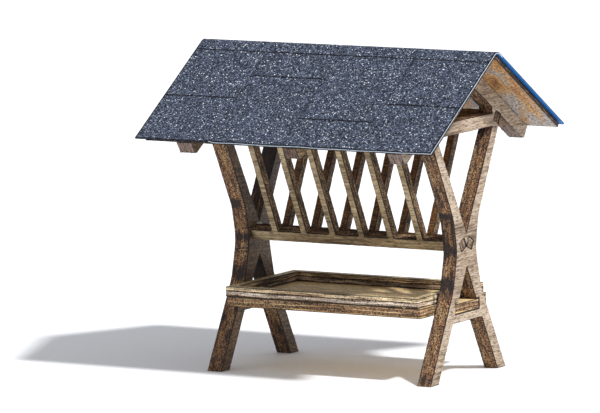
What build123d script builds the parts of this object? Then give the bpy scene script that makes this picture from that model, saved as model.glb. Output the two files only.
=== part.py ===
from build123d import *
from math import cos, hypot, radians, sin, tan
import os

# Scale model of a roofed hay feeder, cut from flat sheets that slot together:
# two end frames with gables, a middle truss, a V of two slatted racks,
# a tray of two stacked sheets, two roof boards and a folded gritty covering.
# Millimetres. X runs along the ridge, Y across it, Z up. The origin is on the
# ground, under the middle of the roof covering.

# Sheet thicknesses
frame_sheet = 4.8
rack_sheet = 3.1
tray_sheet = 3.1
board_sheet = 1.5
covering_sheet = 0.5

# Overall layout
frame_span = 80.0          # over the outer faces of the two end frames
wood_centre_x = 0.8        # the covering sits this far off the woodwork's middle
truss_offset_x = 0.6       # the middle truss stands this far off the woodwork's middle
joint_play = 0.15          # gap round a tenon or a tab, each side

# Roof
roof_pitch = 32.8          # degrees
roof_fall = tan(radians(roof_pitch))
rafter_ridge_z = 99.1      # where the rafters' top edges meet
board_length = 101.6
board_width = 47.2         # down the slope
covering_length = 105.0
covering_width = 50.1      # down one slope, to where the fold would be sharp
covering_lift = 0.3        # glue line between boards and covering, measured upright
fold_radius = 2.4          # inside the covering's fold

# End frame, half outline: Y is half a width, Z a height
foot_outer_y = 23.7
foot_inner_y = 18.5
knee_y, knee_z = 8.8, 27.4
waist_y, waist_z = 5.9, 39.4
shoulder_y, shoulder_z = 7.9, 49.6
arm_lean = 0.513           # widening of the arm's outer edge for each mm of height
crotch_y, crotch_z = 9.0, 17.5
knee_radius = 14.0
waist_radius = 16.0
shoulder_radius = 14.0

# Openings of the end frame
arm_fork_z = 44.8          # bottom of the V between the arms
arm_inner_lean = 0.555
tie_bottom_z = 75.8
tie_top_z = 80.0
gable_opening_apex_z = 92.5
rafter_underside_fall = 0.62
gable_opening_y = 17.1
window_apex_z = 34.2
window_lean = 0.53
slot_half_width = 7.5
slot_bottom_z = 20.3
slot_top_z = 23.7

# Rafter tails
tail_top_y = 39.8
tail_soffit_z = 70.1

# Rack panels
rack_bottom_y, rack_bottom_z = 2.3, 41.3    # middle of the bottom rail
rack_top_y, rack_top_z = 20.4, 78.4         # middle of the top rail
rail_depth = 3.6
tenon_depth = 2.8
tenon_setback = 0.1        # the tenon ends stand this far inside the frame's face
slat_count = 6
slat_pitch = 10.4
slat_width = 2.2

# Tray
tray_width = 41.3
rim_length = 68.7
rim_offset_x = -0.2        # the rim stands this far off the woodwork's middle
rim_wall = 3.2
floor_length = 68.9
floor_offset_x = 0.6       # and the floor this far
tab_side_play = 0.3        # between a tab and the end of its slot
tab_setback = 0.2          # the tab ends stand this far inside the frame's face

frame_inner_x = frame_span / 2 - frame_sheet


def rafter_top(y):
    """Height of the rafters' top edge at y."""
    return rafter_ridge_z - roof_fall * y


def rafter_underside(y):
    """Height of the rafters' lower edge at y."""
    return gable_opening_apex_z - rafter_underside_fall * y


def rafter_underside_y(z):
    """Half width at which the rafters' lower edge has height z."""
    return (gable_opening_apex_z - z) / rafter_underside_fall


def symmetric_outline(side, peak):
    """Corners at positive Y, one corner on the middle, then the mirror images."""
    return side + [peak] + [(-y, z) for y, z in reversed(side)]


def sheet_across(face, thickness, middle_x):
    """A sheet that stands across the ridge, cut to a face drawn in Y and Z."""
    sheet = extrude(Plane.YZ * face, amount=thickness)
    return Pos(wood_centre_x + middle_x - thickness / 2, 0, 0) * sheet


# The rafters' outline is shared by the end frames and the middle truss.
tail_end_y = tail_top_y - (rafter_top(tail_top_y) - tail_soffit_z) * roof_fall
tail_heel_y = rafter_underside_y(tail_soffit_z)
tail = [
    (tail_heel_y, tail_soffit_z),
    (tail_end_y, tail_soffit_z),
    (tail_top_y, rafter_top(tail_top_y)),
]

# Where the arm's outer edge runs into the rafter's lower edge.
armpit_y = (
    shoulder_y + arm_lean * (gable_opening_apex_z - shoulder_z)
) / (1 + arm_lean * rafter_underside_fall)
armpit = (armpit_y, rafter_underside(armpit_y))

# The racks lean outwards: "up" runs up the panel, and the panel's thickness runs
# along "inward".
rack_height = hypot(rack_top_y - rack_bottom_y, rack_top_z - rack_bottom_z)
rack_up = Vector(0, rack_top_y - rack_bottom_y, rack_top_z - rack_bottom_z).normalized()
rack_inward = Vector(1, 0, 0).cross(rack_up)
rack_plane = Plane(
    origin=(wood_centre_x, rack_bottom_y, rack_bottom_z),
    x_dir=(1, 0, 0),
    z_dir=rack_inward,
)


def rack_bar(length, depth, height_up):
    """A bar along the back rack panel, centred at height_up above the bottom rail's middle."""
    bar = Box(length, depth, rack_sheet)
    return rack_plane * (Pos(0, height_up, 0) * bar)


def gable_opening():
    """Opening between the tie and the rafters."""
    side = [
        (gable_opening_y, tie_top_z),
        (gable_opening_y, rafter_underside(gable_opening_y)),
    ]
    outline = symmetric_outline(side, (0, gable_opening_apex_z))
    return make_face(Polyline(outline, close=True))


def arm_opening():
    """V between the arms, up to the tie."""
    half_width = arm_inner_lean * (tie_bottom_z - arm_fork_z)
    outline = symmetric_outline([(half_width, tie_bottom_z)], (0, arm_fork_z))
    return make_face(Polyline(outline, close=True))


def window():
    """Triangle between the legs' tops, with a slot across its foot for the tray's tab."""
    half_width = window_lean * (window_apex_z - slot_top_z)
    side = [
        (slot_half_width, slot_bottom_z),
        (slot_half_width, slot_top_z),
        (half_width, slot_top_z),
    ]
    outline = symmetric_outline(side, (0, window_apex_z))
    return make_face(Polyline(outline, close=True))


def tenon_mortises():
    """Bars that cut the mortises for both rack panels' tenons in both end frames."""
    cutters = []
    for height_up in (0, rack_height):
        bar = Box(
            frame_span + 2 * frame_sheet,
            tenon_depth + 2 * joint_play,
            rack_sheet + 2 * joint_play,
        )
        cutter = rack_plane * (Pos(0, height_up, 0) * bar)
        cutters += [cutter, mirror(cutter, about=Plane.XZ)]
    return cutters


def end_frame(middle_x):
    """Legs, arms, tie, rafters and tails in one sheet."""
    side = [
        (crotch_y, crotch_z),
        (foot_inner_y, 0),
        (foot_outer_y, 0),
        (knee_y, knee_z),
        (waist_y, waist_z),
        (shoulder_y, shoulder_z),
        armpit,
    ] + tail
    side_radii = [0, 0, 0, knee_radius, waist_radius, shoulder_radius, 0, 0, 0, 0]
    outline = symmetric_outline(side, (0, rafter_ridge_z))
    radii = side_radii + [0] + side_radii[::-1]
    face = make_face(FilletPolyline(outline, radius=radii, close=True))
    face -= gable_opening()
    face -= arm_opening()
    face -= window()
    frame = sheet_across(face, frame_sheet, middle_x)
    for cutter in tenon_mortises():
        frame -= cutter
    return frame


def middle_truss():
    """Rafter pair with a tie between the racks, notched over their top rails."""
    # The tie's ends follow the racks' inner faces up to the rafters' lower edges.
    tie_end_y = arm_inner_lean * (tie_bottom_z - arm_fork_z) - joint_play
    up_lean = rack_up.Y / rack_up.Z
    tie_shoulder_z = (
        gable_opening_apex_z
        - rafter_underside_fall * (tie_end_y - up_lean * tie_bottom_z)
    ) / (1 + rafter_underside_fall * up_lean)
    tie_shoulder = (rafter_underside_y(tie_shoulder_z), tie_shoulder_z)
    side = [(tie_end_y, tie_bottom_z), tie_shoulder] + tail
    outline = symmetric_outline(side, (0, rafter_ridge_z))
    face = make_face(Polyline(outline, close=True)) - gable_opening()
    truss = sheet_across(face, frame_sheet, truss_offset_x)
    notch = rack_plane * (
        Pos(0, rack_height, 0)
        * Box(2 * frame_sheet, rail_depth + joint_play, rack_sheet + joint_play)
    )
    return truss - notch - mirror(notch, about=Plane.XZ)


def rack_panel_back():
    """Two rails with tenons at their ends, joined by upright slats, all from one sheet."""
    rail_length = 2 * (frame_inner_x - joint_play)
    tenon_length = frame_span - 2 * tenon_setback
    panel = rack_bar(rail_length, rail_depth, 0)
    panel += rack_bar(rail_length, rail_depth, rack_height)
    for height_up in (0, rack_height):
        panel += rack_bar(tenon_length, tenon_depth, height_up)
    for i in range(slat_count):
        slat_x = (i - (slat_count - 1) / 2) * slat_pitch
        slat = Box(slat_width, rack_height, rack_sheet)
        panel += rack_plane * (Pos(slat_x, rack_height / 2, 0) * slat)
    return panel


def tray_floor():
    """A plate on the crossbars of the end frames, with a tab through each frame."""
    tab_length = frame_span - 2 * tab_setback
    tab_width = 2 * (slot_half_width - tab_side_play)
    face = Pos(floor_offset_x, 0) * Rectangle(floor_length, tray_width)
    face += Rectangle(tab_length, tab_width)
    return Pos(wood_centre_x, 0, slot_bottom_z) * extrude(face, amount=tray_sheet)


def tray_rim():
    """A rectangular ring glued on the floor plate."""
    face = Rectangle(rim_length, tray_width)
    face -= Rectangle(rim_length - 2 * rim_wall, tray_width - 2 * rim_wall)
    rim_z = slot_bottom_z + tray_sheet
    return Pos(wood_centre_x + rim_offset_x, 0, rim_z) * extrude(face, amount=tray_sheet)


def roof_board_back():
    """A board whose lower edge at the ridge lies on the rafters' meeting line."""
    on_lower_edge = (Align.CENTER, Align.MIN, Align.MIN)
    board = Box(board_length, board_width, board_sheet, align=on_lower_edge)
    slope = Plane(
        origin=(wood_centre_x, 0, rafter_ridge_z),
        x_dir=(1, 0, 0),
        z_dir=(0, sin(radians(roof_pitch)), cos(radians(roof_pitch))),
    )
    return slope * board


def roof_covering():
    """One sheet folded over the ridge, with its eave edges cut square to the slope."""
    pitch = radians(roof_pitch)
    inner_ridge_z = rafter_ridge_z + board_sheet / cos(pitch) + covering_lift
    outer_ridge_z = inner_ridge_z + covering_sheet / cos(pitch)
    outer_eave_y = covering_width * cos(pitch)
    outer_eave_z = outer_ridge_z - covering_width * sin(pitch)
    inner_eave_y = outer_eave_y - covering_sheet * sin(pitch)
    inner_eave_z = outer_eave_z - covering_sheet * cos(pitch)
    outline = [
        (-outer_eave_y, outer_eave_z),
        (0, outer_ridge_z),
        (outer_eave_y, outer_eave_z),
        (inner_eave_y, inner_eave_z),
        (0, inner_ridge_z),
        (-inner_eave_y, inner_eave_z),
    ]
    radii = [0, fold_radius + covering_sheet, 0, 0, fold_radius, 0]
    face = make_face(FilletPolyline(outline, radius=radii, close=True))
    sheet = extrude(Plane.YZ * face, amount=covering_length)
    return Pos(-covering_length / 2, 0, 0) * sheet


frame_middle_x = frame_span / 2 - frame_sheet / 2
back_panel = rack_panel_back()
back_board = roof_board_back()

nodes = {
    "end_frame_left": end_frame(-frame_middle_x),
    "end_frame_right": end_frame(frame_middle_x),
    "middle_truss": middle_truss(),
    "rack_panel_front": mirror(back_panel, about=Plane.XZ),
    "rack_panel_back": back_panel,
    "tray_floor": tray_floor(),
    "tray_rim": tray_rim(),
    "roof_board_front": mirror(back_board, about=Plane.XZ),
    "roof_board_back": back_board,
    "roof_covering": roof_covering(),
}

os.makedirs("parts", exist_ok=True)
for name, shape in nodes.items():
    export_step(shape, f"parts/{name}.step")
    print(name, round(shape.volume, 1), shape.bounding_box())
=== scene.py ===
import math
import random

import bmesh
import bpy
from mathutils import Euler, Matrix, Vector, noise


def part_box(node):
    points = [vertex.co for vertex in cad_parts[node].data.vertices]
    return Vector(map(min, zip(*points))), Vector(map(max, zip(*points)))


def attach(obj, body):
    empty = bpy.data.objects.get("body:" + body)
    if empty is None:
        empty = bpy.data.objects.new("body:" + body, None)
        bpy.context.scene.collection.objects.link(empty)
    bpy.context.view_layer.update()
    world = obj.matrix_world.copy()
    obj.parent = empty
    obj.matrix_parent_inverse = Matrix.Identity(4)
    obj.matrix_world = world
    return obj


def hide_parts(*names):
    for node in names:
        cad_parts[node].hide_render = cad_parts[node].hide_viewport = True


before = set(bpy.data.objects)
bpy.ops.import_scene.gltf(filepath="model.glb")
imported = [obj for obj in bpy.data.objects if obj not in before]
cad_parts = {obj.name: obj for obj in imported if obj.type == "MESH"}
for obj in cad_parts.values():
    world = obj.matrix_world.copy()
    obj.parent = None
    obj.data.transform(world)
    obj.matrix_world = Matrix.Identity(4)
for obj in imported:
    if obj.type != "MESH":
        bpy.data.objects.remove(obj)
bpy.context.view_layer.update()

# A small model of a roofed hay rack feeder: laser-cut ply sheets slotted and glued
# together under a folded sheet of roofing grit. Everything is in metres, and sheet
# sizes are given in millimetres.
mm = 0.001


def linear(code):
    # an sRGB hex code as a linear colour
    parts = [int(code[i:i + 2], 16) / 255 for i in (1, 3, 5)]
    curved = [c / 12.92 if c <= 0.04045 else ((c + 0.055) / 1.055) ** 2.4 for c in parts]
    return (*curved, 1.0)


def addNode(tree, kind, inputs=None, output=0, stops=(), **settings):
    # adds a node with its settings, links and ramp stops, and returns one of its outputs
    node = tree.nodes.new("ShaderNode" + kind)
    for name, value in settings.items():
        setattr(node, name, value)
    for name, value in (inputs or {}).items():
        if isinstance(value, bpy.types.NodeSocket):
            tree.links.new(value, node.inputs[name])
        else:
            node.inputs[name].default_value = value
    if stops:
        elements = node.color_ramp.elements
        while len(elements) > 1:
            elements.remove(elements[-1])
        elements[0].position, elements[0].color = stops[0][0], linear(stops[0][1])
        for place, code in stops[1:]:
            elements.new(place).color = linear(code)
    return node.outputs[output] if output is not None else node


def newMaterial(name):
    material = bpy.data.materials.new(name)
    material.use_nodes = True
    material.node_tree.nodes.clear()
    return material, material.node_tree


def addPiece(name, bm, materials, nodes=(), place=None):
    if place is not None:
        bm.transform(place)
    mesh = bpy.data.meshes.new(name)
    bm.to_mesh(mesh)
    bm.free()
    for material in materials:
        mesh.materials.append(material)
    piece = bpy.data.objects.new(name, mesh)
    bpy.context.scene.collection.objects.link(piece)
    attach(piece, "root")
    if nodes:
        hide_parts(*nodes)
    print("made", name, len(mesh.polygons), "faces")
    return piece


def middle(node):
    low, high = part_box(node)
    return (low + high) / 2


# What each kind of sheet is made of. Sizes are in mm. The plies run from the face that
# looks into the feeder to the face that looks out.
framePly = {
    "thickness": 4.8,
    "plies": ["#5f4a38", "#86694a", "#94744c", "#7b5c40", "#6e3b22"],
    "glueLine": "#2a1c13",
    "sootColour": "#17161b",
    "emberColour": "#a8652a",
    "sootShare": 0.4,            # how much of the cut edges is burnt black
    "faceStops": [(0.0, "#5d4c38"), (0.25, "#8a765f"), (0.55, "#ae9a83"), (1.0, "#c9b8a4")],
    "innerShadeTint": "#c8bfb2",
    "poreColour": "#402e1e",
    "poreShare": 0.85,
    "softEdge": 0.22,
    "cutRough": 0.12,
    "step": 0.6,
    "square": 2.4,
}
rackPly = {
    "thickness": 3.1,
    "plies": ["#8b7657", "#5d442e", "#8b7657"],
    "glueLine": "#21160e",
    "sootColour": "#15100d",
    "emberColour": "#9c5f2b",
    "sootShare": 0.42,
    "faceStops": [(0.0, "#554430"), (0.3, "#816c4c"), (0.65, "#9f8964"), (1.0, "#bda984")],
    "innerShadeTint": "#b58d62",
    # this wide, the singed line is partly painted shade on the shaded slat sides
    "singed": 0.5,               # width of the singed line at the faces
    "poreColour": "#3d2f1f",
    "poreShare": 0.85,
    "softEdge": 0.16,
    "cutRough": 0.08,
    "step": 0.6,
    "square": 2.4,
}
trayPly = {
    "thickness": 3.1,
    "plies": ["#ecd8b2", "#2b2019", "#dccfc0", "#755a42"],
    "shares": [0.4, 0.12, 0.36, 0.12],
    "stretch": 0.3,              # the fibres run longer along these sheets
    "speckle": 0.8,
    "glueLine": "#1c120b",
    "sootColour": "#191210",
    "emberColour": "#9a6a35",
    "sootShare": 0.3,
    "faceStops": [(0.0, "#8f7b58"), (0.3, "#bda67a"), (0.65, "#dac394"), (1.0, "#ecd9b2")],
    "innerShadeTint": "#ffffff",
    "poreColour": "#44351f",
    "poreShare": 0.7,
    "softEdge": 0.18,
    "cutRough": 0.09,
    "step": 0.7,
    "square": 2.4,
}
trayFloorPly = {
    **trayPly,
    "plies": ["#c9a87c", "#76533a", "#d2b184", "#6a492f", "#cba971"],
    "shares": [0.16, 0.24, 0.14, 0.28, 0.18],
    "glueLine": "#4a3320",
    "faceStops": [(0.0, "#a78d60"), (0.3, "#d6b883"), (0.65, "#edcf9a"), (1.0, "#f6e2ba")],
    # painted light and shade on the tray floor's top: scale at the light and the dark end of its
    # patches
    "innerLightShade": 1.3,
    "innerPaintedShade": 0.85,
}
boardPly = {
    "thickness": 1.5,
    "plies": ["#4b3424", "#5f412a", "#4b3424"],
    "glueLine": "#20140d",
    "sootColour": "#120d0a",
    "emberColour": "#7a4a28",
    "sootShare": 0.55,
    "faceStops": [(0.0, "#7a5230"), (0.28, "#b27e45"), (0.5, "#c89d69"), (0.72, "#a99a8a"),
                  (1.0, "#aea6a0")],
    "grainShare": 0.3,
    "eaveGrey": 0.004,           # how much greyer the board is for each mm towards the eave
    "stretch": 1.6,
    "innerShadeTint": "#ffffff",
    "poreColour": "#6a4a2c",
    "poreShare": 0.4,
    "softEdge": 0.12,
    "cutRough": 0.05,
    "step": 1.2,
    "square": 4.0,
}

# What the laser and the glue leave on every sheet. Sizes are in mm.
laserCut = {
    "glueBand": 0.07,            # half width of the dark line drawn between two plies
    "glueGroove": 0.09,          # half width of the groove there
    "glueDepth": 0.07,
    "rounding": (0.3, 1.0),      # rows of points on a softened corner, as shares of its size
    "setBack": 0.02,             # how far the rough edge lies inside the solid's
    "waves": (0.9, 2.7, 0.6),    # blotches in one mm, how much finer the small ones are, share
    "singed": 0.17,              # width of the singed line at the faces
    "singedFull": 0.03,          # where it is darkest
    "ash": "#776a68",
    "specks": ((0.51, 0.57, 0.8, "#d3b487"), (0.48, 0.42, 0.92, "#130e0b")),   # ash, char
}
veneerTilt = 0.98                # a face that lies flatter than this is veneer, not cut edge

# Noise on the faces and on the cut edges: blotches in one mm along the grain, across it
# and through the sheet, then detail, roughness and distortion.
facePatterns = {
    "tone": ((0.03, 0.08, 0.0), 2.0, 0.5, 0.6),
    "streaks": ((0.1, 1.3, 0.0), 3.0, 0.65, 0.3),
    "pores": ((0.45, 2.6, 0.0), 2.0, 0.6, 0.0),
    "mottle": ((0.9, 1.5, 0.0), 3.0, 0.7, 0.0),
}
edgePatterns = {
    "wander": ((0.22, 0.22, 0.3), 2.0, 0.5, 0.0),
    "fibres": ((0.35, 0.35, 2.6), 3.0, 0.7, 0.3),
    "speck": ((2.5, 2.5, 2.5), 2.0, 0.75, 0.0),
    "soot": ((0.16, 0.16, 0.75), 4.0, 0.68, 0.5),
}
stretchedPatterns = ("tone", "wander", "fibres", "soot")

# How each sheet lies: its own x runs along the frame, y up it and z through the sheet.
# Turns are in degrees about X, Y and Z. Inner is the side of z that looks into the feeder.
# Dark spots are soft places painted darker, mostly painted shade where parts shade each other (in
# the V, under the tie beam and the roof, in the windows, on the tray's inner walls): centre, half
# sizes and strength. A negative strength turns the cut edge to grey ash instead.
acrossTheRidge = Matrix(((0, 0, 1), (1, 0, 0), (0, 1, 0))).to_euler()
rackLean = 26.00639
roofPitch = 32.8
# A sheet's tint darkens the whole part as painted shade, and its inner tint, in mottled patches,
# lays painted shade and painted light on the side that looks into the feeder.
sheets = [
    {"name": "endFrameRight", "node": "end_frame_right", "ply": framePly, "slot": "frame_ply",
     "turn": acrossTheRidge, "inner": -1, "seed": 3.0, "partShadeTint": "#f8f6f4",
     "shadeAndAshSpots": [
         ((37.0, -8.2, 50.6), (3.4, 4.0, 0.9), 0.4),
         ((37.0, -6.0, 39.6), (3.4, 4.0, 1.5), 0.3),
         ((37.2, -8.6, 29.8), (3.4, 4.0, 2.0), 0.32),
         ((39.6, -6.8, 37.0), (2.0, 4.0, 14.0), 0.05),
         ((36.6, -6.8, 44.0), (1.2, 4.0, 6.0), 0.14),
         ((36.8, 18.5, 75.0), (3.0, 2.5, 3.0), 0.3),
         ((38.4, -21.0, 1.5), (4.0, 4.0, 2.0), 0.15),
         ((38.4, 35.0, 71.0), (9.0, 9.0, 6.0), -0.2),
         ((38.4, -35.0, 71.0), (9.0, 9.0, 6.0), -0.2),
     ]},
    {"name": "endFrameLeft", "node": "end_frame_left", "ply": framePly, "slot": "frame_ply",
     "turn": acrossTheRidge, "inner": 1, "seed": 11.0, "partShadeTint": "#eee8e0", "sootShare": 0.3,
     "innerShadeTint": "#a4937c",
     # height, then how far the outer and the inner face stand outwards there
     "bend": [(0.0, 0.0, 0.35), (25.0, 0.25, 0.6), (40.0, 0.35, 0.8), (78.0, 0.2, 0.85),
              (99.0, 0.2, 0.5)],
     "shadeAndAshSpots": [
         ((-37.5, -8.0, 51.0), (2.2, 4.0, 1.6), 0.26),
         ((-36.8, -6.0, 40.2), (4.0, 4.0, 1.1), 0.26),
         ((-36.4, -8.5, 29.5), (4.0, 5.0, 2.6), 0.2),
         ((-34.6, -7.0, 42.0), (1.0, 5.0, 12.0), 0.08),
         ((-36.8, -19.0, 5.0), (8.0, 9.0, 15.0), 0.12),
         ((-36.8, 19.0, 5.0), (8.0, 9.0, 15.0), 0.14),
         ((-36.8, 8.0, 60.0), (6.0, 9.0, 14.0), 0.4),
         ((-36.8, 2.5, 28.0), (6.0, 3.0, 7.0), 0.4),
         ((-36.8, -35.0, 70.5), (9.0, 9.0, 6.0), -0.2),
     ]},
    {"name": "middleTruss", "node": "middle_truss", "ply": framePly, "slot": "frame_ply",
     "turn": acrossTheRidge, "inner": 1, "seed": 17.0, "partShadeTint": "#cbbcab",
     "innerShadeTint": "#f0e2c8",
     "shadeAndAshSpots": [
         ((1.4, -35.0, 70.5), (9.0, 9.0, 6.0), -0.2),
         ((1.4, 8.0, 84.0), (9.0, 18.0, 9.0), 0.8),
     ]},
    {"name": "rackPanelFront", "node": "rack_panel_front", "ply": rackPly, "slot": "rack_ply",
     "turn": Euler((math.radians(90 + rackLean), 0, 0)), "inner": -1, "seed": 23.0,
     "partShadeTint": "#ffffff",
     "shadeAndAshSpots": [
         ((41.2, -3.0, 51.0), (1.5, 8.0, 8.0), -0.25),
     ]},
    {"name": "rackPanelBack", "node": "rack_panel_back", "ply": rackPly, "slot": "rack_ply",
     "turn": Euler((math.radians(90 - rackLean), 0, 0)), "inner": 1, "seed": 29.0,
     "partShadeTint": "#ffffff",
     "shadeAndAshSpots": [
         ((41.2, 3.0, 51.0), (1.5, 8.0, 8.0), -0.25),
     ]},
    {"name": "trayFloor", "node": "tray_floor", "ply": trayFloorPly, "slot": "tray_ply",
     "turn": Euler((0, 0, 0)), "inner": 1, "seed": 31.0, "partShadeTint": "#ffffff", "shadeAndAshSpots": []},
    {"name": "trayRim", "node": "tray_rim", "ply": trayPly, "slot": "tray_ply",
     "turn": Euler((0, 0, 0)), "inner": 1, "seed": 37.0, "partShadeTint": "#ffffff",
     "shadeAndAshSpots": [
         ((0.8, 17.6, 25.0), (40.0, 1.2, 3.0), 0.1),
         ((-29.8, 0.0, 25.0), (1.2, 20.0, 3.0), 0.3),
         ((0.8, -17.6, 25.0), (40.0, 1.2, 3.0), 0.1),
         ((31.4, 0.0, 25.0), (1.2, 20.0, 3.0), 0.2),
     ]},
    {"name": "roofBoardFront", "node": "roof_board_front", "ply": boardPly,
     "slot": "roof_board_ply",
     "turn": Euler((math.radians(roofPitch), 0, 0)), "inner": -1, "seed": 41.0, "grain": "y",
     "eave": -1, "partShadeTint": "#ffffff", "shadeAndAshSpots": [
         ((-2.0, -14.0, 92.0), (34.0, 26.0, 20.0), 0.75),
     ]},
    {"name": "roofBoardBack", "node": "roof_board_back", "ply": boardPly,
     "slot": "roof_board_ply",
     "turn": Euler((math.radians(-roofPitch), 0, 0)), "inner": -1, "seed": 43.0, "grain": "y",
     "eave": 1, "partShadeTint": "#ffffff", "shadeAndAshSpots": [
         ((-2.0, 14.0, 92.0), (34.0, 26.0, 20.0), 0.75),
     ]},
]


def plyShares(ply):
    return ply.get("shares", [1 / len(ply["plies"])] * len(ply["plies"]))


def plyStops(ply):
    # bands across the sheet's thickness, with a thin dark glue line between two plies
    line = laserCut["glueBand"] / ply["thickness"]
    stops = []
    at = 0.0
    for code, share in zip(ply["plies"], plyShares(ply)):
        if at:
            stops.append((at, ply["glueLine"]))
        stops += [(at + line, code), (at + share - line, code)]
        at += share
    return stops


def startPly(sheet, name, patterns):
    # the sheet's own place in mm, kept on its points, and its noise patterns
    material, tree = newMaterial(name + sheet["name"][0].upper() + sheet["name"][1:])
    place = addNode(tree, "Attribute", output="Vector", attribute_name="sheetPlace")
    depth = addNode(tree, "SeparateXYZ", {"Vector": place}, output="Z")
    fields = {"place": place, "depth": depth}
    for k, (field, (scale, detail, rough, distortion)) in enumerate(patterns.items()):
        stretch = sheet["ply"].get("stretch", 1.0) if field in stretchedPatterns else 1.0
        scale = (scale[0] * stretch, scale[1] * stretch, scale[2])
        if sheet.get("grain") == "y":
            scale = (scale[1], scale[0], scale[2])
        stretched = addNode(tree, "Mapping", {"Vector": place, "Scale": scale})
        fields[field] = addNode(tree, "TexNoise", {
            "Vector": stretched, "W": sheet["seed"] + k, "Scale": 1.0, "Detail": detail,
            "Roughness": rough, "Distortion": distortion}, noise_dimensions="4D")
    return material, tree, fields


def faceMaterial(sheet):
    # rotary-cut birch veneer left raw: tan, with brown streaks and short dark pores along
    # the grain; painted shade over the whole part and in the dark spots, and mottled
    # painted light and shade on the faces that look into the feeder
    ply = sheet["ply"]
    material, tree, fields = startPly(sheet, "rawBirchVeneer", facePatterns)
    mixed = addNode(tree, "Mix", {0: ply.get("grainShare", 0.6), 2: fields["tone"],
                                  3: fields["streaks"]})
    if "eave" in sheet:
        drift = addNode(tree, "SeparateXYZ", {"Vector": fields["place"]}, output="Y")
        mixed = addNode(tree, "Math", {0: drift, 1: sheet["eave"] * ply["eaveGrey"], 2: mixed},
                        operation="MULTIPLY_ADD")
    spread = addNode(tree, "MapRange", {"Value": mixed, "From Min": 0.38, "From Max": 0.6})
    face = addNode(tree, "ValToRGB", {"Fac": spread}, stops=ply["faceStops"])
    pores = addNode(tree, "MapRange", {"Value": fields["pores"], "From Min": 0.51,
                                       "From Max": 0.62, "To Max": ply["poreShare"]})
    face = addNode(tree, "Mix", {0: pores, 6: face, 7: linear(ply["poreColour"])}, output=2,
                   data_type="RGBA")

    # painted shade over the whole part, and mottled painted light and shade on the inner face
    inside = addNode(tree, "Math", {0: fields["depth"], 1: float(sheet["inner"])},
                     operation="MULTIPLY")
    inside = addNode(tree, "Math", {0: inside, 1: 0.0}, operation="GREATER_THAN")
    innerLightShade = addNode(tree, "MapRange", {"Value": fields["mottle"], "From Min": 0.4,
                                       "From Max": 0.6, "To Min": ply.get("innerLightShade", 1.6),
                                       "To Max": ply.get("innerPaintedShade", 0.35)})
    innerShadeTint = linear(sheet.get("innerShadeTint", ply["innerShadeTint"]))[:3]
    innerPaintedShade = addNode(tree, "VectorMath", {0: innerShadeTint, "Scale": innerLightShade}, operation="SCALE")
    partShadeTint = addNode(tree, "Mix", {0: inside, 6: linear(sheet["partShadeTint"]), 7: innerPaintedShade}, output=2,
                   data_type="RGBA")
    colour = addNode(tree, "Mix", {0: 1.0, 6: face, 7: partShadeTint}, output=2, data_type="RGBA",
                     blend_type="MULTIPLY")
    # painted shade in the dark spots
    shadeAndAsh = addNode(tree, "Attribute", output="Fac", attribute_name="shadeAndAsh")
    shade = addNode(tree, "MapRange", {"Value": shadeAndAsh, "To Min": 1.0, "To Max": 0.12})
    colour = addNode(tree, "VectorMath", {0: colour, "Scale": shade}, operation="SCALE")
    relief = addNode(tree, "Math", {0: fields["streaks"], 1: fields["pores"]},
                     operation="SUBTRACT")
    bump = addNode(tree, "Bump", {"Height": relief, "Strength": 0.6, "Distance": 0.08 * mm})
    shader = addNode(tree, "BsdfPrincipled", {"Base Color": colour, "Roughness": 0.6,
                                              "Normal": bump, "IOR": 1.5})
    addNode(tree, "OutputMaterial", {"Surface": shader}, output=None)
    return material


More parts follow.
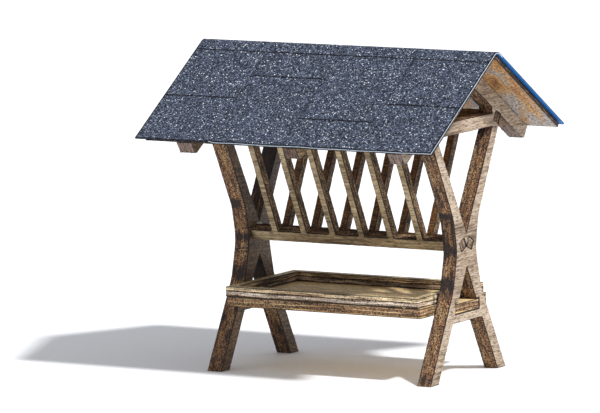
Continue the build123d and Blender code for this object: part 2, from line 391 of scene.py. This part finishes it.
def edgeMaterial(sheet):
    # ply edges cut by laser: brown bands that wander, fibres along them, fine ash and char
    # specks, soot in streaks, made stronger as painted shade in the dark spots, and a singed
    # line where the edge meets a face
    ply = sheet["ply"]
    half = ply["thickness"] / 2
    material, tree, fields = startPly(sheet, "laserCutEdge", edgePatterns)
    depth = fields["depth"]
    wander = addNode(tree, "Math", {0: fields["wander"], 1: 0.5}, operation="SUBTRACT")
    wandered = addNode(tree, "Math", {0: wander, 1: 1.4, 2: depth}, operation="MULTIPLY_ADD")
    across = addNode(tree, "MapRange", {"Value": wandered, "From Min": half * sheet["inner"],
                                        "From Max": -half * sheet["inner"]})
    bands = addNode(tree, "ValToRGB", {"Fac": across}, stops=plyStops(ply))
    light = addNode(tree, "MapRange", {"Value": fields["fibres"], "From Min": 0.38,
                                       "From Max": 0.63, "To Min": 0.06, "To Max": 2.1})
    edge = addNode(tree, "VectorMath", {0: bands, "Scale": light}, operation="SCALE")

    # specks of pale ash and black char, 0.4 mm across
    for low, high, share, code in laserCut["specks"]:
        specks = addNode(tree, "MapRange", {"Value": fields["speck"], "From Min": low,
                                            "From Max": high,
                                            "To Max": share * ply.get("speckle", 1.0)})
        edge = addNode(tree, "Mix", {0: specks, 6: edge, 7: linear(code)}, output=2,
                       data_type="RGBA")

    # soot with a brown rim, made stronger as painted shade in the dark spots
    shadeAndAsh = addNode(tree, "Attribute", output="Fac", attribute_name="shadeAndAsh")
    soot = addNode(tree, "Math", {0: fields["soot"], 1: shadeAndAsh}, operation="ADD")
    limit = 0.5 + (0.5 - sheet.get("sootShare", ply["sootShare"])) * 0.5
    ember = addNode(tree, "MapRange", {"Value": soot, "From Min": limit - 0.16,
                                       "From Max": limit - 0.04, "To Max": 0.5})
    sootAndShade = addNode(tree, "MapRange", {"Value": soot, "From Min": limit - 0.03,
                                       "From Max": limit + 0.08, "To Max": 0.88})
    edge = addNode(tree, "Mix", {0: ember, 6: edge, 7: linear(ply["emberColour"])}, output=2,
                   data_type="RGBA", blend_type="MULTIPLY")
    edge = addNode(tree, "Mix", {0: sootAndShade, 6: edge, 7: linear(ply["sootColour"])}, output=2,
                   data_type="RGBA")

    # the singed line, and grey ash where the dark spots' value is below nothing
    away = addNode(tree, "Math", {0: depth}, operation="ABSOLUTE")
    rim = addNode(tree, "Math", {0: fields["speck"], 1: 0.3, 2: away}, operation="MULTIPLY_ADD")
    singed = addNode(tree, "MapRange", {
        "Value": rim, "From Min": half - ply.get("singed", laserCut["singed"]),
        "From Max": half - laserCut["singedFull"], "To Max": 0.9})
    edge = addNode(tree, "Mix", {0: singed, 6: edge, 7: linear(ply["sootColour"])}, output=2,
                   data_type="RGBA")
    ash = addNode(tree, "MapRange", {"Value": shadeAndAsh, "From Min": -0.02, "From Max": -0.12,
                                     "To Max": 0.75})
    ashTone = addNode(tree, "VectorMath", {0: linear(laserCut["ash"])[:3], "Scale": light},
                      operation="SCALE")
    edge = addNode(tree, "Mix", {0: ash, 6: edge, 7: ashTone}, output=2, data_type="RGBA")
    # the part's tint: painted shade over the whole part
    colour = addNode(tree, "Mix", {0: 1.0, 6: edge, 7: linear(sheet["partShadeTint"])}, output=2,
                     data_type="RGBA", blend_type="MULTIPLY")
    height = addNode(tree, "Math", {0: fields["fibres"], 1: fields["speck"]}, operation="ADD")
    bump = addNode(tree, "Bump", {"Height": height, "Strength": 1.0, "Distance": 0.2 * mm})
    shader = addNode(tree, "BsdfPrincipled", {"Base Color": colour, "Roughness": 0.82,
                                              "Normal": bump, "IOR": 1.5})
    addNode(tree, "OutputMaterial", {"Surface": shader}, output=None)
    return material


def between(table, at):
    # the values of a table at a place in its first column, going evenly from row to row
    for low, high in zip(table, table[1:]):
        if at <= high[0]:
            share = (at - low[0]) / (high[0] - low[0])
            return [a + (b - a) * share for a, b in zip(low[1:], high[1:])]
    return list(table[-1][1:])


def cutAcross(bm, at, facing, seam=False):
    # new edges where a plane meets the sheet, marked as seams where they have to stay
    cut = bmesh.ops.bisect_plane(bm, geom=bm.verts[:] + bm.edges[:] + bm.faces[:], dist=1e-4,
                                 plane_co=at, plane_no=facing)
    for part in cut["geom_cut"]:
        if seam and isinstance(part, bmesh.types.BMEdge):
            part.seam = True


def cutIntoRows(bm, sheet, glueLines):
    # squares smaller than any opening keep the flat faces free of holes
    ply = sheet["ply"]
    half = ply["thickness"] / 2
    reach = [max(abs(v.co[k]) for v in bm.verts) for k in (0, 1)]
    for k, facing in ((0, (1, 0, 0)), (1, (0, 1, 0))):
        count = math.ceil(2 * reach[k] / ply["square"])
        for i in range(1, count):
            cutAcross(bm, [c * (2 * i / count - 1) * reach[k] for c in facing], facing, True)
    bmesh.ops.dissolve_limit(bm, angle_limit=math.radians(0.6), verts=bm.verts, edges=bm.edges,
                             delimit={"SEAM"})

    # rows at the glue lines and on the soft corners, then points along the cut edge
    groove = laserCut["glueGroove"]
    levels = [level + side for level in glueLines for side in (-groove, 0.0, groove)]
    levels += [side * (half - share * ply["softEdge"]) for side in (-1, 1)
               for share in laserCut["rounding"]]
    for level in sorted(levels):
        cutAcross(bm, (0, 0, level), (0, 0, 1))
    bm.normal_update()
    groups = {}
    for e in bm.edges:
        along = e.verts[1].co - e.verts[0].co
        onCut = any(abs(f.normal.z) < veneerTilt for f in e.link_faces)
        cuts = int(along.length / ply["step"])
        if onCut and abs(along.z) < 0.05 * along.length and cuts:
            groups.setdefault(cuts, []).append(e)
    for cuts, edges in sorted(groups.items()):
        bmesh.ops.subdivide_edges(bm, edges=edges, cuts=cuts)
    bm.normal_update()
    for f in bm.faces:
        f.material_index = 0 if abs(f.normal.z) > veneerTilt else 1


def edgeMove(v, sheet, glueLines):
    # how far a point of the cut edge goes: rough, rounded at the faces, grooved at the glue
    ply = sheet["ply"]
    half = ply["thickness"] / 2
    soft = ply["softEdge"]
    outward = Vector((v.normal.x, v.normal.y, 0))
    if outward.length <= 0.05:
        return Vector((0, 0, 0))
    broad, finer, fineShare = laserCut["waves"]
    where = v.co * broad + Vector((sheet["seed"], 0, 0))
    rough = noise.noise(where) + fineShare * noise.noise(where * finer)
    amount = ply["cutRough"] * rough - laserCut["setBack"]
    rim = max(0.0, 1 - (half - abs(v.co.z)) / soft)    # 1 at the face, 0 where the rounding ends
    amount -= soft * (1 - math.sqrt(1 - min(rim, 1.0) ** 2))
    if any(abs(v.co.z - level) < 0.01 for level in glueLines):
        amount -= laserCut["glueDepth"]
    return outward.normalized() * amount


def roughSheet(sheet):
    # the sheet's outline with softened corners, and a cut edge with its plies in relief
    ply = sheet["ply"]
    thickness = ply["thickness"]
    place = Matrix.LocRotScale(middle(sheet["node"]), sheet["turn"], (mm, mm, mm))
    bm = bmesh.new()
    bm.from_mesh(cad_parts[sheet["node"]].data)
    bmesh.ops.remove_doubles(bm, verts=bm.verts, dist=0.002 * mm)
    bm.transform(place.inverted())
    shares = plyShares(ply)
    glueLines = [(0.5 - sum(shares[:k])) * thickness * sheet["inner"]
                 for k in range(1, len(shares))]
    cutIntoRows(bm, sheet, glueLines)
    kept = bm.verts.layers.float_vector.new("sheetPlace")
    shadeAndAsh = bm.verts.layers.float.new("shadeAndAsh")
    moves = []
    for v in bm.verts:
        v[kept] = v.co
        world = place @ v.co / mm
        # dark spots: painted shade where positive, grey ash on the cut edge where negative
        for centre, sizes, strength in sheet["shadeAndAshSpots"]:
            far = sum(((a - b) / c) ** 2 for a, b, c in zip(world, centre, sizes))
            v[shadeAndAsh] += strength * math.exp(-far)
        move = edgeMove(v, sheet, glueLines)
        if "bend" in sheet:
            outer, inner = between(sheet["bend"], world.z)
            share = 0.5 + sheet["inner"] * v.co.z / thickness
            move.z += outer + (inner - outer) * share
        moves.append((v, move))
    for v, move in moves:
        v.co += move
    materials = [faceMaterial(sheet), edgeMaterial(sheet)]
    return addPiece(sheet["name"], bm, materials, [sheet["node"]], place)


for sheet in sheets:
    roughSheet(sheet)


# Small beads of dried glue at two joints, and two fibres torn from the tray's front.
# Places and sizes in mm.
smallParts = {
    "beads": [(35.5, -10.7, 26.1, 0.42), (35.6, -10.9, 24.6, 0.36), (35.4, -10.6, 23.1, 0.46),
              (35.5, -10.4, 21.9, 0.3), (-33.4, -1.4, 44.0, 0.34), (-32.7, -0.9, 44.2, 0.4),
              (-31.9, -1.3, 44.0, 0.28)],
    "beadWobble": 0.25,
    "fibres": [(19.8, 25.2, 2.6, 0.35), (29.6, 24.0, 3.2, -0.5)],    # x, z, length and wave
    "fibreLift": (0.1, 0.3),     # how far off the tray: at the ends, and more in the middle
    "fibreWidth": 0.16,
    "fibreThickness": 0.08,
}


def glueMaterial():
    # dried wood glue: smooth, milky and glossy, with brown dust in it
    material, tree = newMaterial("driedWoodGlue")
    place = addNode(tree, "TexCoord", output="Object")
    dust = addNode(tree, "TexNoise", {"Vector": place, "Scale": 2500.0, "Detail": 2.0})
    spread = addNode(tree, "MapRange", {"Value": dust, "From Min": 0.4, "From Max": 0.65})
    colour = addNode(tree, "Mix", {0: spread, 6: linear("#ded8cc"), 7: linear("#7c6750")},
                     output=2, data_type="RGBA")
    shader = addNode(tree, "BsdfPrincipled", {"Base Color": colour, "Roughness": 0.2, "IOR": 1.46})
    addNode(tree, "OutputMaterial", {"Surface": shader}, output=None)
    return material


def fibreMaterial():
    # torn birch fibre: pale and dull, darker in fine lines along it
    material, tree = newMaterial("tornBirchFibre")
    place = addNode(tree, "TexCoord", output="Object")
    along = addNode(tree, "Mapping", {"Vector": place, "Scale": (400.0, 400.0, 6000.0)})
    lines = addNode(tree, "TexNoise", {"Vector": along, "Scale": 1.0, "Detail": 2.0})
    spread = addNode(tree, "MapRange", {"Value": lines, "From Min": 0.4, "From Max": 0.6})
    colour = addNode(tree, "Mix", {0: spread, 6: linear("#efe4d0"), 7: linear("#c3ab86")},
                     output=2, data_type="RGBA")
    shader = addNode(tree, "BsdfPrincipled", {"Base Color": colour, "Roughness": 0.7, "IOR": 1.5})
    addNode(tree, "OutputMaterial", {"Surface": shader}, output=None)
    return material


def makeSmallParts():
    glue = glueMaterial()
    for k, (x, y, z, radius) in enumerate(smallParts["beads"]):
        bm = bmesh.new()
        bmesh.ops.create_icosphere(bm, subdivisions=3, radius=radius)
        for v in bm.verts:
            lump = noise.noise(v.co * 2.5 + Vector((k * 5.0, 0, 0)))
            v.co *= 1 + smallParts["beadWobble"] * lump
        addPiece(f"glueBead{k + 1}", bm, [glue], (),
                 Matrix.Translation(Vector((x, y, z)) * mm) @ Matrix.Scale(mm, 4))
    wood = fibreMaterial()
    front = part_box("tray_rim")[0].y / mm
    for k, (x, z, length, wave) in enumerate(smallParts["fibres"]):
        bm = bmesh.new()
        bmesh.ops.create_grid(bm, x_segments=16, y_segments=1, size=0.5)
        for v in bm.verts:
            share = v.co.x
            off, curl = smallParts["fibreLift"]
            rise = wave * math.sin(2.4 * math.pi * share)
            v.co = Vector((x + share * length,
                           front - off - curl * math.cos(math.pi * share) ** 2,
                           z + rise + v.co.y * smallParts["fibreWidth"]))
        bmesh.ops.solidify(bm, geom=bm.faces[:], thickness=smallParts["fibreThickness"])
        bmesh.ops.recalc_face_normals(bm, faces=bm.faces)
        addPiece(f"tornFibre{k + 1}", bm, [wood], (), Matrix.Scale(mm, 4))


makeSmallParts()


covering = {
    "length": 105.0,
    "slope": 50.1,           # mm from the sharp ridge to the eave, on top
    "thickness": 0.5,
    "fold": 3.4,             # outer radius of the fold
    "modelFold": 2.9,        # the same radius in the solid model
    "spacing": 0.56,         # mm between the grit's mesh points
    "grit": 0.035,           # height of the grit
    "gritRange": (-1.0, 0.6),   # how far the grit goes in and out, as shares of its height
    "smoothEnd": 0.3,        # no grit in relief this close to the ends
    "groove": 0.03,          # depth of the engraved lines
    "lineHalf": 0.28,        # half their width
    "eaveWave": 0.22,        # how far the front eave wanders
    "eaveBump": (-26.0, 1.3, 0.4),   # place, half width and rise of a bump in the front eave
    "quarters": (-26.25, 0.0, 26.25),  # engraved lines down the slope
    "quarterShade": 0.35,    # how dark those are
    "lineShade": 0.95,       # how dark the lines along the ridge are
    "fullLine": 0.12,        # engraved line along the whole roof, as a share of the slope
    "joints": ((-52.5, -26.25, 0.574), (-26.25, 0.0, 0.354), (0.0, 26.25, 0.738),
               (26.25, 52.5, 0.562)),   # shorter lines: start, end and share of the slope
    "beyond": 60.0,          # a length past every edge of the covering
}


def gritMaterial():
    # mineral grit in bitumen colour: dark blue-grey grains of about 0.35 mm, with painted glints
    material, tree = newMaterial("rolledMineralGrit")
    place = addNode(tree, "TexCoord", output="Object")
    local = addNode(tree, "Mapping", {"Vector": place, "Scale": (mm, mm, mm)},
                    vector_type="TEXTURE")
    axes = addNode(tree, "SeparateXYZ", {"Vector": local}, output=None)
    cells = addNode(tree, "TexVoronoi", {"Vector": local, "Scale": 3.6}, output=None)
    pick = addNode(tree, "SeparateColor", {"Color": cells.outputs["Color"]})
    fine = addNode(tree, "TexNoise", {"Vector": local, "Scale": 3.2, "Detail": 2.0,
                                      "Roughness": 0.7})
    broad = addNode(tree, "TexNoise", {"Vector": local, "Scale": 0.25, "Detail": 2.0})
    # the palest grains are painted glints, and are glossier too
    grains = addNode(tree, "ValToRGB", {"Fac": pick}, stops=[
        (0.0, "#0f1115"), (0.22, "#1f232b"), (0.5, "#343a47"), (0.75, "#4e5568"),
        (0.93, "#737e93"), (0.98, "#a1aab8"), (0.99, "#f2f5fa")])
    shade = addNode(tree, "MapRange", {"Value": fine, "From Min": 0.3, "From Max": 0.7,
                                       "To Min": 0.6, "To Max": 1.4})
    patchy = addNode(tree, "MapRange", {"Value": broad, "From Min": 0.3, "From Max": 0.7,
                                        "To Min": 0.9, "To Max": 1.1})
    shade = addNode(tree, "Math", {0: shade, 1: patchy}, operation="MULTIPLY")
    grains = addNode(tree, "VectorMath", {0: grains, "Scale": shade}, operation="SCALE")

    # engraved lines: along the ridge, then down the slope
    flat = addNode(tree, "Math", {0: axes.outputs["Y"]}, operation="ABSOLUTE")
    down = addNode(tree, "Math", {0: flat, 1: math.cos(math.radians(roofPitch))},
                   operation="DIVIDE")
    x = axes.outputs["X"]
    slope, beyond = covering["slope"], covering["beyond"]
    dark = covering["lineShade"]
    wanted = [(down, covering["fullLine"] * slope, -beyond, beyond, dark)]
    wanted += [(down, share * slope, start, end, dark)
               for start, end, share in covering["joints"]]
    wanted += [(x, at, 0.0, beyond, covering["quarterShade"]) for at in covering["quarters"]]
    lines = None
    for axis, at, start, end, strength in wanted:
        other = x if axis is down else down
        near = addNode(tree, "Math", {0: axis, 1: at, 2: covering["lineHalf"]},
                       operation="COMPARE")
        within = addNode(tree, "Math", {0: other, 1: (start + end) / 2, 2: (end - start) / 2},
                         operation="COMPARE")
        line = addNode(tree, "Math", {0: near, 1: within}, operation="MULTIPLY")
        line = addNode(tree, "Math", {0: line, 1: strength}, operation="MULTIPLY")
        if lines is not None:
            line = addNode(tree, "Math", {0: lines, 1: line}, operation="MAXIMUM")
        lines = line
    broken = addNode(tree, "MapRange", {"Value": fine, "From Min": 0.52, "From Max": 0.72,
                                        "To Min": 1.0, "To Max": 0.45})
    lines = addNode(tree, "Math", {0: lines, 1: broken}, operation="MULTIPLY")
    colour = addNode(tree, "Mix", {0: lines, 6: grains, 7: linear("#120c0b")}, output=2,
                     data_type="RGBA")

    # the cut ends and the eaves are singed over about 0.3 mm
    for axis, at in ((x, covering["length"] / 2), (down, slope)):
        out = addNode(tree, "Math", {0: axis}, operation="ABSOLUTE")
        out = addNode(tree, "Math", {0: fine, 1: 0.5, 2: out}, operation="MULTIPLY_ADD")
        singed = addNode(tree, "MapRange", {"Value": out, "From Min": at - 0.3,
                                            "From Max": at - 0.05, "To Max": 0.85})
        colour = addNode(tree, "Mix", {0: singed, 6: colour, 7: linear("#15161b")}, output=2,
                         data_type="RGBA")
    rough = addNode(tree, "MapRange", {"Value": pick, "From Min": 0.95, "From Max": 0.985,
                                       "To Min": 0.9, "To Max": 0.45})
    height = addNode(tree, "Math", {0: cells.outputs["Distance"], 1: lines}, operation="ADD")
    bump = addNode(tree, "Bump", {"Height": height, "Strength": 0.8, "Distance": 0.15 * mm},
                   invert=True)
    shader = addNode(tree, "BsdfPrincipled", {"Base Color": colour, "Roughness": rough,
                                              "Normal": bump, "Specular IOR Level": 0.15,
                                              "IOR": 1.5})
    addNode(tree, "OutputMaterial", {"Surface": shader}, output=None)
    return material


def paperMaterial(name, code, dark, scale):
    # calendered paper: an even colour with faint fibres
    material, tree = newMaterial(name)
    place = addNode(tree, "TexCoord", output="Object")
    fibre = addNode(tree, "TexNoise", {"Vector": place, "Scale": scale, "Detail": 3.0,
                                       "Roughness": 0.6})
    spread = addNode(tree, "MapRange", {"Value": fibre, "From Min": 0.35, "From Max": 0.65})
    colour = addNode(tree, "Mix", {0: spread, 6: linear(dark), 7: linear(code)}, output=2,
                     data_type="RGBA")
    bump = addNode(tree, "Bump", {"Height": fibre, "Strength": 0.4, "Distance": 0.03 * mm})
    shader = addNode(tree, "BsdfPrincipled", {"Base Color": colour, "Roughness": 0.6,
                                              "Normal": bump, "IOR": 1.5})
    addNode(tree, "OutputMaterial", {"Surface": shader}, output=None)
    return material


def bendOverRidge(bm, length, halfSheet, pitch, ridge):
    # lays a flat grid over the ridge: a rounded fold, then two straight slopes
    fold = covering["fold"]
    centreZ = ridge - fold / math.cos(pitch)
    place, width, rise = covering["eaveBump"]
    reach = max(v.co.x for v in bm.verts)
    for v in bm.verts:
        x, s = v.co.x / reach * length / 2, v.co.y / reach * halfSheet
        side, s = (1 if s > 0 else -1), abs(s)
        turn = min(s / fold, pitch)
        along = max(s - fold * pitch, 0.0)
        y = fold * math.sin(turn) + along * math.cos(pitch)
        z = centreZ + fold * math.cos(turn) - along * math.sin(pitch)
        if side < 0:
            loose = (s / halfSheet) ** 6
            z += loose * covering["eaveWave"] * noise.noise(Vector((x * 0.09, 5.0, 0)))
            z += loose * rise * math.exp(-((x - place) / width) ** 2)
        v.co = Vector((x, side * y, z))
    bm.normal_update()


def pressGrit(points, length, pitch):
    # grit in relief, pressed in along the engraved lines
    slope, half = covering["slope"], covering["lineHalf"]
    random.seed(7)
    for v in points:
        inland = length / 2 - abs(v.co.x) > covering["smoothEnd"]
        down = abs(v.co.y) / math.cos(pitch)
        engraved = abs(down - covering["fullLine"] * slope) < half or any(
            start < v.co.x < end and abs(down - share * slope) < half
            for start, end, share in covering["joints"])
        v.co -= v.normal * covering["groove"] * engraved
        v.co += v.normal * covering["grit"] * random.uniform(*covering["gritRange"]) * inland


def makeCovering():
    low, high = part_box("roof_covering")
    length = (high.x - low.x) / mm
    pitch = math.radians(roofPitch)
    ridge = high.z / mm + covering["modelFold"] * (1 / math.cos(pitch) - 1)
    fold = covering["fold"]
    halfSheet = fold * pitch + covering["slope"] - fold * math.tan(pitch)
    bm = bmesh.new()
    bmesh.ops.create_grid(bm, x_segments=int(length / covering["spacing"]),
                          y_segments=int(2 * halfSheet / covering["spacing"]), size=1.0)
    bendOverRidge(bm, length, halfSheet, pitch, ridge)
    topCount = len(bm.verts)                     # the points on top stay the first ones
    bmesh.ops.solidify(bm, geom=bm.faces[:], thickness=covering["thickness"])
    bm.verts.index_update()
    through = [e for e in bm.edges
               if (e.verts[0].index < topCount) != (e.verts[1].index < topCount)]
    bmesh.ops.subdivide_edges(bm, edges=through, cuts=1)
    bm.normal_update()
    bm.verts.index_update()
    pressGrit(bm.verts[:topCount], length, pitch)
    bm.normal_update()

    # grit on top and on the rim's upper half, which is all of it left of the bump, dyed
    # backing below and round the back slope, and bare cut paper on the rest of the rim
    for f in bm.faces:
        at = f.calc_center_median()
        out = Vector((0, math.copysign(math.sin(pitch), at.y), math.cos(pitch)))
        lean = f.normal.dot(out)
        charred = f.normal.y < -0.5 and at.x < covering["eaveBump"][0]
        onTop = any(v.index < topCount for v in f.verts)
        coated = lean > 0.5 or (abs(lean) <= 0.5 and (charred or onTop))
        dyed = lean < -0.5 or at.y > fold
        f.material_index = 0 if coated else 1 if dyed else 2
    materials = [gritMaterial(), paperMaterial("dyedPaperBacking", "#0f70bf", "#0b5aa0", 900),
                 paperMaterial("cutPaperEdge", "#d3dde6", "#9fb0c0", 2500)]
    return addPiece("roofCovering", bm, materials, ["roof_covering"],
                    Matrix.Scale(mm, 4))


makeCovering()


studio = {
    "floor": "#f4f4f6",
    "floorDark": "#ececef",
    "floorDrop": 0.02,                     # mm from the ground plane down to the floor
    "sunTowards": (-54.0, 13.0, -74.2),   # the way the light travels
    "sunStrength": 3.6,
    "sunSpread": 5.0,                      # degrees
    "sky": "#eef1f6",
    "skyStrength": 0.55,
    "overhead": (3.0, 2.2, 5.4),          # side and height in metres, and power
    "cameraPlace": (1.111408, -1.895202, 0.336286),
    "azimuth": 30.8066,
    "elevation": 7.3966,
    "roll": -0.98677,
    "lens": 428.2,
}


def makeStudio():
    bm = bmesh.new()
    bmesh.ops.create_grid(bm, x_segments=8, y_segments=8, size=6.0)
    mesh = bpy.data.meshes.new("floor")
    bm.to_mesh(mesh)
    bm.free()
    floor = bpy.data.objects.new("floor", mesh)
    floor.location.z = -studio["floorDrop"] * mm
    bpy.context.scene.collection.objects.link(floor)
    material, tree = newMaterial("matteWhiteCard")   # a little mottled, as uncoated card is
    place = addNode(tree, "TexCoord", output="Object")
    mottle = addNode(tree, "TexNoise", {"Vector": place, "Scale": 900.0, "Detail": 2.0})
    shade = addNode(tree, "MapRange", {"Value": mottle, "From Min": 0.3, "From Max": 0.7})
    colour = addNode(tree, "Mix", {0: shade, 6: linear(studio["floorDark"]),
                                   7: linear(studio["floor"])}, output=2, data_type="RGBA")
    shader = addNode(tree, "BsdfPrincipled", {"Base Color": colour, "Roughness": 0.95})
    addNode(tree, "OutputMaterial", {"Surface": shader}, output=None)
    mesh.materials.append(material)

    sun = bpy.data.lights.new("key", "SUN")
    sun.energy = studio["sunStrength"]
    sun.angle = math.radians(studio["sunSpread"])
    key = bpy.data.objects.new("key", sun)
    key.rotation_euler = Vector(studio["sunTowards"]).to_track_quat("-Z", "Y").to_euler()
    bpy.context.scene.collection.objects.link(key)

    side, height, power = studio["overhead"]
    panel = bpy.data.lights.new("overhead", "AREA")
    panel.size = side
    panel.energy = power
    overhead = bpy.data.objects.new("overhead", panel)
    overhead.location.z = height
    bpy.context.scene.collection.objects.link(overhead)

    world = bpy.data.worlds.new("studio")
    bpy.context.scene.world = world
    world.use_nodes = True
    world.node_tree.nodes.clear()
    sky = addNode(world.node_tree, "Background", {"Color": linear(studio["sky"]),
                                                  "Strength": studio["skyStrength"]})
    addNode(world.node_tree, "OutputWorld", {"Surface": sky}, output=None)
    bpy.context.scene.view_settings.view_transform = "Standard"

    lens = bpy.data.cameras.new("camera")
    lens.lens = studio["lens"]
    lens.sensor_width = 36.0
    lens.clip_start, lens.clip_end = 0.1, 50.0
    camera = bpy.data.objects.new("camera", lens)
    turn = (Matrix.Rotation(math.radians(studio["azimuth"]), 3, "Z")
            @ Matrix.Rotation(math.radians(90 - studio["elevation"]), 3, "X")
            @ Matrix.Rotation(math.radians(studio["roll"]), 3, "Z"))
    camera.rotation_euler = turn.to_euler()
    camera.location = studio["cameraPlace"]
    bpy.context.scene.collection.objects.link(camera)
    bpy.context.scene.camera = camera
    print("made the studio")


makeStudio()
